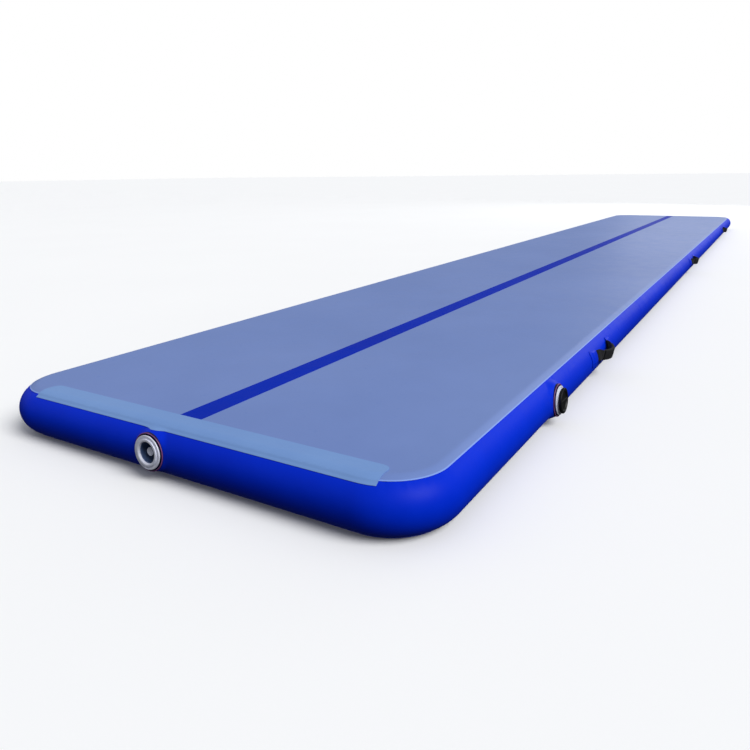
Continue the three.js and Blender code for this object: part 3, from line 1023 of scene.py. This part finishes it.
def make_webbing(place, end, letter):
    """Half of a strap, from under its patch to the middle of the grip."""
    section = rounded_section(WEB_HALF_WIDTH, WEB_THICKNESS / 2, 0.8 * MM)
    xs = np.concatenate([np.linspace(0, 36 * MM, 13), np.linspace(38 * MM, 70 * MM, 33)])
    xs = np.concatenate([xs, np.linspace(72 * MM, WEB_END, 7)])
    points, lengths = [], []
    for x in xs:
        for out, v in section:
            points.append(strap_point(place, end * x, out, v))
            lengths.append((float(x), float(v)))
    faces = grid(len(xs), len(section), round_columns=True)
    faces += [tuple(range(len(section))), tuple(range(len(points) - len(section), len(points)))]
    web = make(f"{place.name}_webbing_{letter}", points, faces, WEBBING)
    lay_out(web, points, lengths)
    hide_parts(f"{place.name}_strap")
    return bridge(web)


def lay_out(piece, points, flat):
    """Gives each point its place on the flat cloth, for the weave to follow."""
    table = {tuple(round(float(c), 7) for c in p): uv for p, uv in zip(points, flat)}
    layer = piece.data.uv_layers.new(name="cloth")
    for loop in piece.data.loops:
        key = tuple(round(c, 7) for c in piece.data.vertices[loop.vertex_index].co)
        near = table.get(key) or min(table.items(), key=lambda i: math.dist(i[0], key))[1]
        layer.data[loop.index].uv = near


def make_stitches(place, end, letter, tree):
    """Two rows of bar tacks across the strap, where it is folded back at the grip."""
    points, edges = [], []
    across = np.linspace(-1, 1, 9) * TACK_HALF_WIDTH
    for row in TACK_ROWS:
        start = len(points)
        for v in across:
            points.append(strap_point(place, end * row, WEB_THICKNESS / 2 + TACK_LIFT, v))
        edges += [(start + i, start + i + 1) for i in range(len(across) - 1)]
    mesh = bpy.data.meshes.new("tacks")
    mesh.from_pydata([tuple(map(float, p)) for p in points], edges, [])
    tacks = bpy.data.objects.new(f"{place.name}_tacks_{letter}", mesh)
    bpy.context.scene.collection.objects.link(tacks)
    values = {"Pitch": 2.55 * MM, "Length": 2.5 * MM, "Thickness": 0.6 * MM, "Finish": THREAD}
    run_tree(tacks, tree, values)
    return bridge(tacks)


def make_grip(place):
    """A foam sleeve round the strap, soft at its ends."""
    steps = 45
    outer = rounded_section(14.2 * MM, 4.0 * MM, 3.9 * MM, 6)
    inner = rounded_section(WEB_HALF_WIDTH + 0.25 * MM, WEB_THICKNESS / 2 + 0.2 * MM, 0.9 * MM, 6)
    lean = HANDLE_TILT - HANDLE_DROOP
    rings = []
    for index in range(steps):
        share = 2 * index / (steps - 1) - 1
        x = GRIP_HALF_LENGTH * math.sin(share * math.pi / 2)
        taper = math.sqrt(max(0.0, 1 - max(0.0, (abs(x) / GRIP_HALF_LENGTH - 0.93) / 0.07) ** 2))
        rings.append((x, outer, 0.72 + 0.28 * taper))
    for index in range(steps):
        x = GRIP_HALF_LENGTH * (1 - 2 * index / (steps - 1))
        rings.append((x * 0.995, inner, 1.0))
    points = []
    for x, section, size in rings:
        normal = square_to(bow, x)
        for out, v in section:
            if section is outer:
                swell = 1 + 0.05 * math.cos(math.pi * x / GRIP_HALF_LENGTH / 2)
                out *= size * swell
                v *= 1 - (1 - size) * 0.25
            reach = HINGE_OUT + bow(x)
            points.append(place.at(x + normal[0] * out, reach + normal[1] * out, v, lean))
    faces = grid(len(rings), len(outer), round_rows=True, round_columns=True)
    sleeve = make(f"{place.name}_sleeve", points, faces, GRIP_FOAM)
    hand_over(sleeve, place.name, "grip_rubber", f"{place.name}_grip")
    return sleeve


def make_patch(place, end, letter):
    """A welded patch that holds the strap's end down, raised over the webbing."""
    half = PATCH_HALF_ANGLE * BULGE
    length = PATCH_END - PATCH_START
    xs = np.linspace(0, 1, 31)
    vs = np.linspace(-1, 1, 41)
    points = []
    for share in xs:
        x = length * (0.5 - 0.5 * math.cos(math.pi * share))
        depth = PATCH_CORNER - min(x, length - x, PATCH_CORNER)
        inset = PATCH_CORNER - math.sqrt(max(0.0, PATCH_CORNER**2 - depth**2))
        for side in vs:
            v = side * (half - inset)
            under = smooth((WEB_HALF_WIDTH + 4.5 * MM - abs(v)) / PATCH_RAMP)
            under *= smooth((WEB_END - PATCH_START + PATCH_RAMP - x) / PATCH_RAMP)
            edge = min(x, length - x, half - abs(v))
            round_off = 0.3 * MM * (1 - float(smooth(edge / (1.5 * MM))))
            lift = BULGE + 0.15 * MM + PATCH_THICKNESS - round_off
            reach = lift + (WEB_THICKNESS + 0.35 * MM) * float(under)
            points.append(place.on_wall(end * (PATCH_START + x), reach, v))
    patch = make(f"{place.name}_hold_{letter}", points, grid(len(xs), len(vs)), WALL_FABRIC)
    turn_outwards(patch, Vector((place.hinge[0] + end * (PATCH_START + length / 2), 0, BULGE)))
    thicken(patch, 0.8 * MM)
    hand_over(patch, "mat", "wall_fabric", f"{place.name}_patch_{letter}")
    return patch


def make_handle(name, stitches):
    place = HandlePlace(name)
    for end, letter in ((-1, "a"), (1, "b")):
        make_patch(place, end * place.side, letter)
        make_webbing(place, end, letter)
        make_stitches(place, end, letter, stitches)
    make_grip(place)


# ---- what stays as it was cut ----


def finish_inner_pieces():
    """The pieces inside the mat keep their shape and get their own finish."""
    finishes = {
        "seam_tape_top": UNDER_FABRIC,
        "seam_tape_bottom": UNDER_FABRIC,
        "side_valve_cap_seal": SEAL_RUBBER,
    }
    for valve in VALVES:
        finishes[f"{valve.name}_gasket"] = SEAL_RUBBER
        finishes[f"{valve.name}_diaphragm"] = SEAL_RUBBER
        finishes[f"{valve.name}_nut"] = VALVE_PLASTIC
    for node, finish in finishes.items():
        piece = frame["nodes"][node]
        piece.data.materials.clear()
        piece.data.materials.append(finish)


def make_yarns():
    """The field of yarns that holds the two faces apart."""
    low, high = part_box("drop_stitch_core")
    yarns = make("drop_stitch_yarns", [(0, 0, 0), (MM, 0, 0), (0, MM, 0)], [(0, 1, 2)], YARN)
    values = {
        "Length": high.x - low.x - 80 * MM,
        "Width": high.y - low.y - 40 * MM,
        "Along": 146,
        "Across": 46,
        "Height": high.z - low.z,
        "Thickness": 0.4 * MM,
        "Finish": YARN,
    }
    run_tree(yarns, yarns_tree(), values)
    moved(yarns, Matrix.Translation((low + high) / 2))
    return hand_over(yarns, "mat", "yarn", "drop_stitch_core")


# ---- the studio ----


def set_down(name, data, turn, place=(0, 0, 0)):
    """Puts a lamp or a camera in the studio."""
    made = bpy.data.objects.new(name, data)
    made.location = place
    made.rotation_mode = "QUATERNION"
    made.rotation_quaternion = turn
    bpy.context.scene.collection.objects.link(made)
    return made


def add_panel(name, place, aim, size, power):
    """A soft rectangular light."""
    data = bpy.data.lights.new(name, "AREA")
    data.shape = "RECTANGLE"
    data.size, data.size_y = size
    data.energy = power
    set_down(name, data, (Vector(aim) - Vector(place)).to_track_quat("-Z", "Y"), place)


def add_sky_light(name, toward, strength, spread):
    """A broad even light from one direction, soft at its edges."""
    data = bpy.data.lights.new(name, "SUN")
    data.energy = strength
    data.angle = math.radians(spread)
    set_down(name, data, Vector(toward).to_track_quat("Z", "Y"))


def set_studio():
    floor = make("floor", [(-90, -90, 0), (90, -90, 0), (90, 90, 0), (-90, 90, 0)], [(0, 1, 2, 3)])
    fin = Finish("studio_floor")
    paint = fin.mixed(fin.noise(0.8, 2.0), tone(250, 250, 250), tone(253, 253, 253))
    floor.data.materials.append(fin.finish(paint, 0.9, Specular_IOR_Level=0.0))
    if floor.data.polygons[0].normal.z < 0:
        floor.data.flip_normals()
    floor.data.transform(Matrix.Translation((0, 0, -0.2 * MM)))
    floor.visible_diffuse = False  # the floor throws no light back up at the mat
    floor.visible_glossy = False

    world = bpy.data.worlds.new("studio")
    world.use_nodes = True
    bpy.context.scene.world = world
    tree = Tree(world.node_tree)
    world.node_tree.nodes.clear()
    seen = tree.node("ShaderNodeLightPath", out=0)
    toward = tree.node("ShaderNodeTexCoord", out=0)
    above = tree.node("ShaderNodeSeparateXYZ", {}, {0: toward}, out=2).ramp(-0.15, 0.35)
    strength = above * (SKY_FILL - GROUND_FILL) + GROUND_FILL
    fill = tree.node("ShaderNodeBackground", {}, {0: (0.92, 0.95, 1.0, 1), 1: strength})
    plain = tree.node("ShaderNodeBackground", {}, {0: (1, 1, 1, 1), 1: 1.0})
    both = tree.node("ShaderNodeMixShader", {}, {0: seen, 1: fill, 2: plain})
    tree.node("ShaderNodeOutputWorld", {}, {0: both})

    add_sky_light("key", (-0.12, -0.78, 0.75), KEY_STRENGTH, 35)
    add_panel("far_panel", (6.5, -1.2, 2.4), (0.0, 0.0, 0.0), (5.0, 3.0), FAR_PANEL_POWER)
    bpy.context.scene.view_settings.view_transform = "Standard"


def set_camera():
    """A low eye near the end valve, looking along the mat."""
    flat = math.cos(CAMERA_PITCH)
    ahead, aside = math.cos(CAMERA_YAW) * flat, math.sin(CAMERA_YAW) * flat
    forward = Vector((ahead, aside, -math.sin(CAMERA_PITCH)))
    data = bpy.data.cameras.new("camera")
    data.sensor_width = 36
    data.lens = LENS
    turn = forward.to_track_quat("-Z", "Y") @ Quaternion((0, 0, 1), CAMERA_ROLL)
    bpy.context.scene.camera = set_down("camera", data, turn, CAMERA_PLACE)


set_camera()
set_studio()

make_wall()
make_face_sheet("top_skin", 1, TOP_FABRIC, "top_fabric", "top_sheet")
make_face_sheet("bottom_skin", -1, UNDER_FABRIC, "wall_fabric", "bottom_sheet")
make_end_strip("near_strip", -1, "end_strip_near")
make_end_strip("far_strip", 1, "end_strip_far")
make_centre_line()
make_yarns()

cap_ribs = ribs_tree()
for valve in VALVES:
    make_collar(valve)
    make_valve_body(valve)
    make_plunger(valve)
    make_spring(valve)
make_cap(SIDE_VALVE, cap_ribs)

tack_tree = stitches_tree()
for body in frame["bodies"]:
    if body.startswith("handle_"):
        make_handle(body, tack_tree)
finish_inner_pieces()
